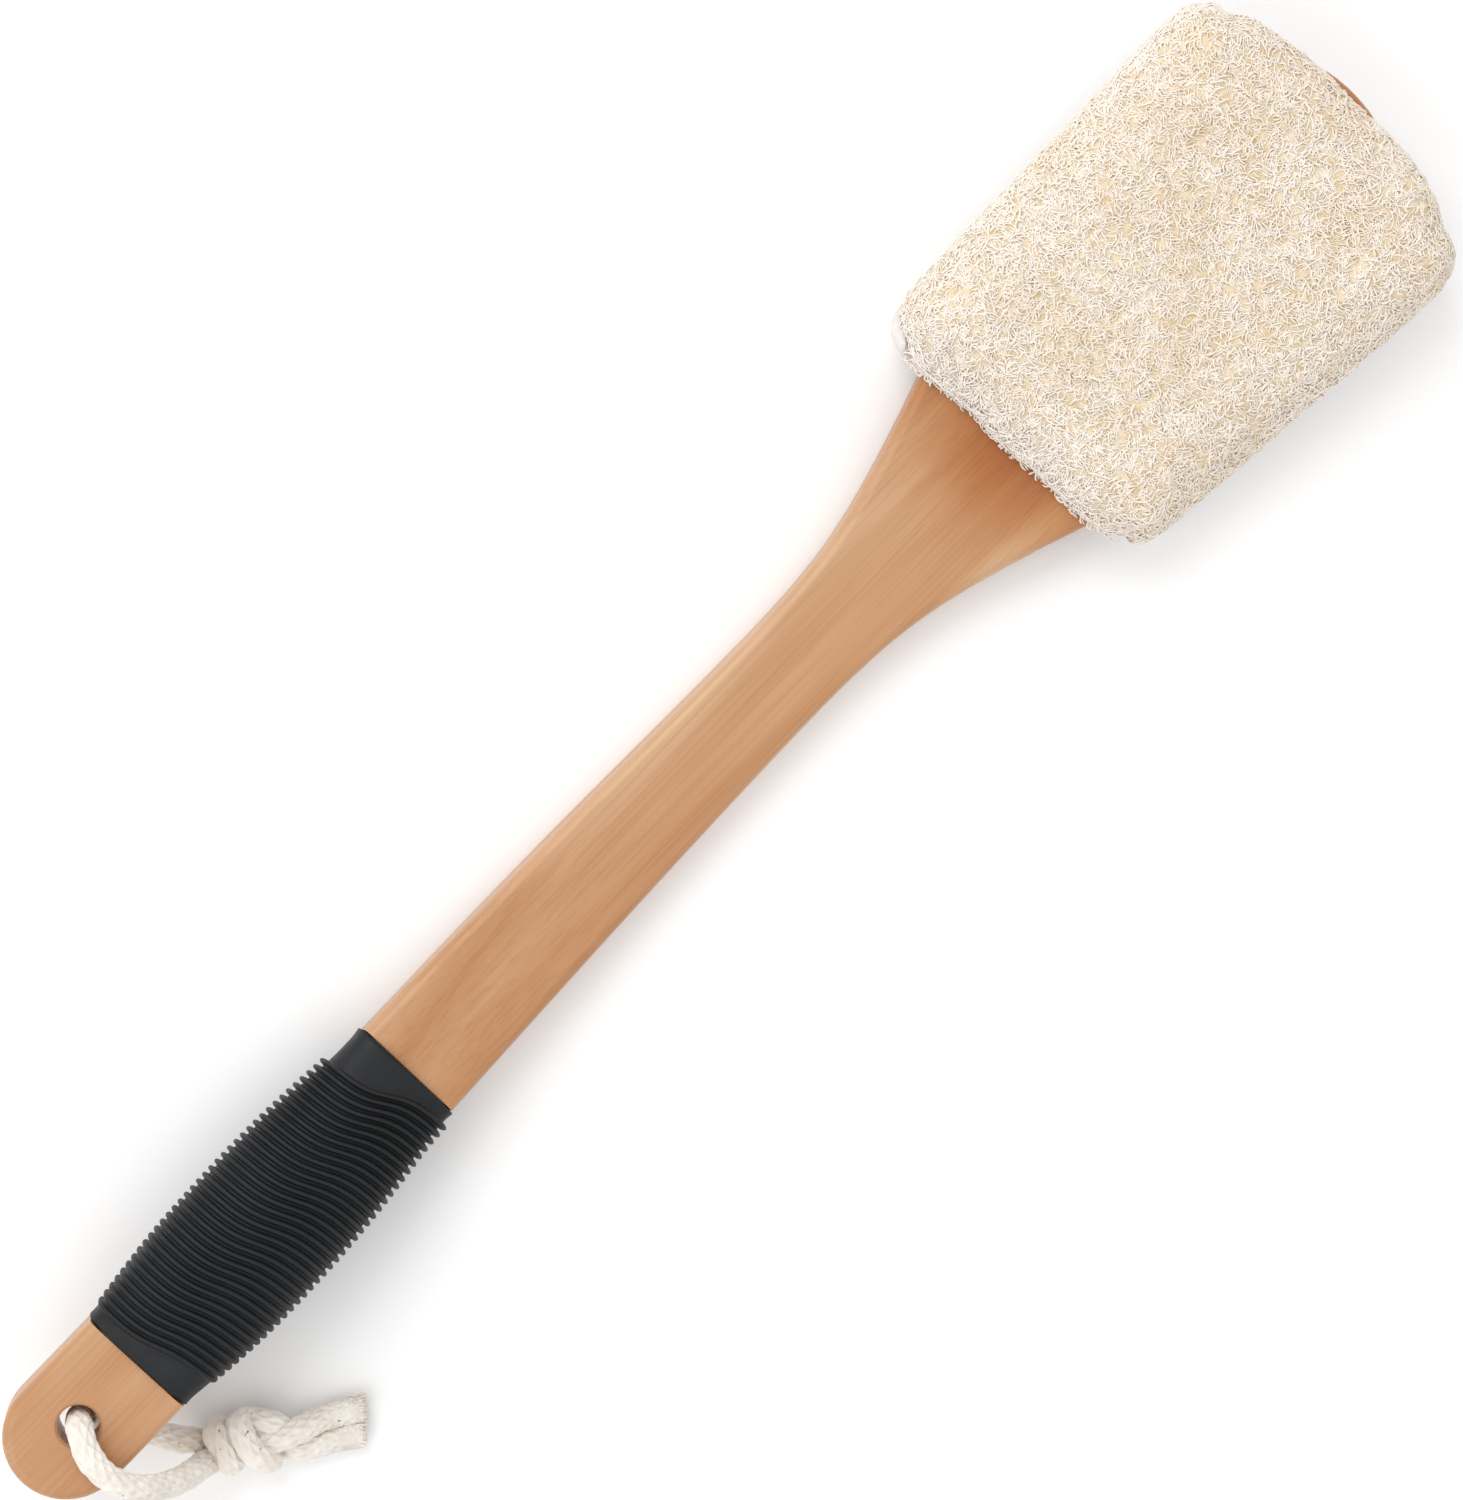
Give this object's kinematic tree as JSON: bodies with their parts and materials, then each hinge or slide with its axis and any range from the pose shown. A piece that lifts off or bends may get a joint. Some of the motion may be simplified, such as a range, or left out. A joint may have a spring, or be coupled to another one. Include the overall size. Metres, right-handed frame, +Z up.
{
  "type": "loofah back scrubber",
  "caption": "Long bent wooden handle with a ribbed rubber grip, a rope hanging loop and a wide paddle under a slip-on pad of loofah over cloth.",
  "frame": {"origin": "on the surface that it lies on, under the middle of its footprint without the cord", "axes": "+X along the handle towards the head, +Z up out of the scrubbing face, and the cord hangs on the -Y side"},
  "size_m": [0.452, 0.1029, 0.0427],
  "materials": {
    "handle_wood": "satin",
    "grip_rubber": "matte",
    "loofah": "matte",
    "backing_cotton": "matte",
    "seam_thread": "matte",
    "cotton_rope": "matte"
  },
  "bodies": {
    "wooden_handle": {"handle": "handle_wood", "grip_sleeve": "grip_rubber"},
    "pad": {"loofah_face": "loofah", "backing_cloth": "backing_cotton", "left_seam_stitches": "seam_thread", "right_seam_stitches": "seam_thread"},
    "cord": {"hanging_cord": "cotton_rope", "cord_knot": "cotton_rope", "cord_tail_upper": "cotton_rope", "cord_tail_lower": "cotton_rope"}
  },
  "joints": [
    {"name": "pad_slide", "type": "slide", "parent": "wooden_handle", "child": "pad", "axis": [0.9962, 0, 0.0872], "range_m": [0, 0.12]},
    {"name": "cord_swing", "type": "hinge", "parent": "wooden_handle", "child": "cord", "pos_m": [-0.207, 0.00332, 0.0283], "axis": [0, 0, 1], "range_deg": [-128, 0]}
  ]
}
